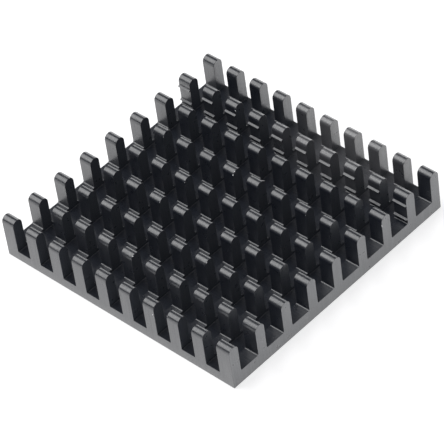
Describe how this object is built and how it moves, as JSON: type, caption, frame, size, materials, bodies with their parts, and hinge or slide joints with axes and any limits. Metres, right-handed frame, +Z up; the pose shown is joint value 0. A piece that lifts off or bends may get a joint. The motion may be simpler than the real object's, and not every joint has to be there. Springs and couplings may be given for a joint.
{
  "type": "pin fin heat sink",
  "caption": "Square pin fin heat sink: an extruded bar with round-tipped fins, sawn crosswise into rows of rectangular pins on a flat base.",
  "frame": {"origin": "centre of the underside", "axes": "+Z up from the underside towards the pin tips, +X along the extrusion towards the end with the longer pins, +Y across the fins towards the fin with the barbs"},
  "size_m": [0.04, 0.04, 0.0066],
  "materials": {
    "black_anodised": "black anodised aluminium, satin"
  },
  "bodies": {
    "root": {"heat_sink": "black_anodised"}
  },
  "joints": []
}
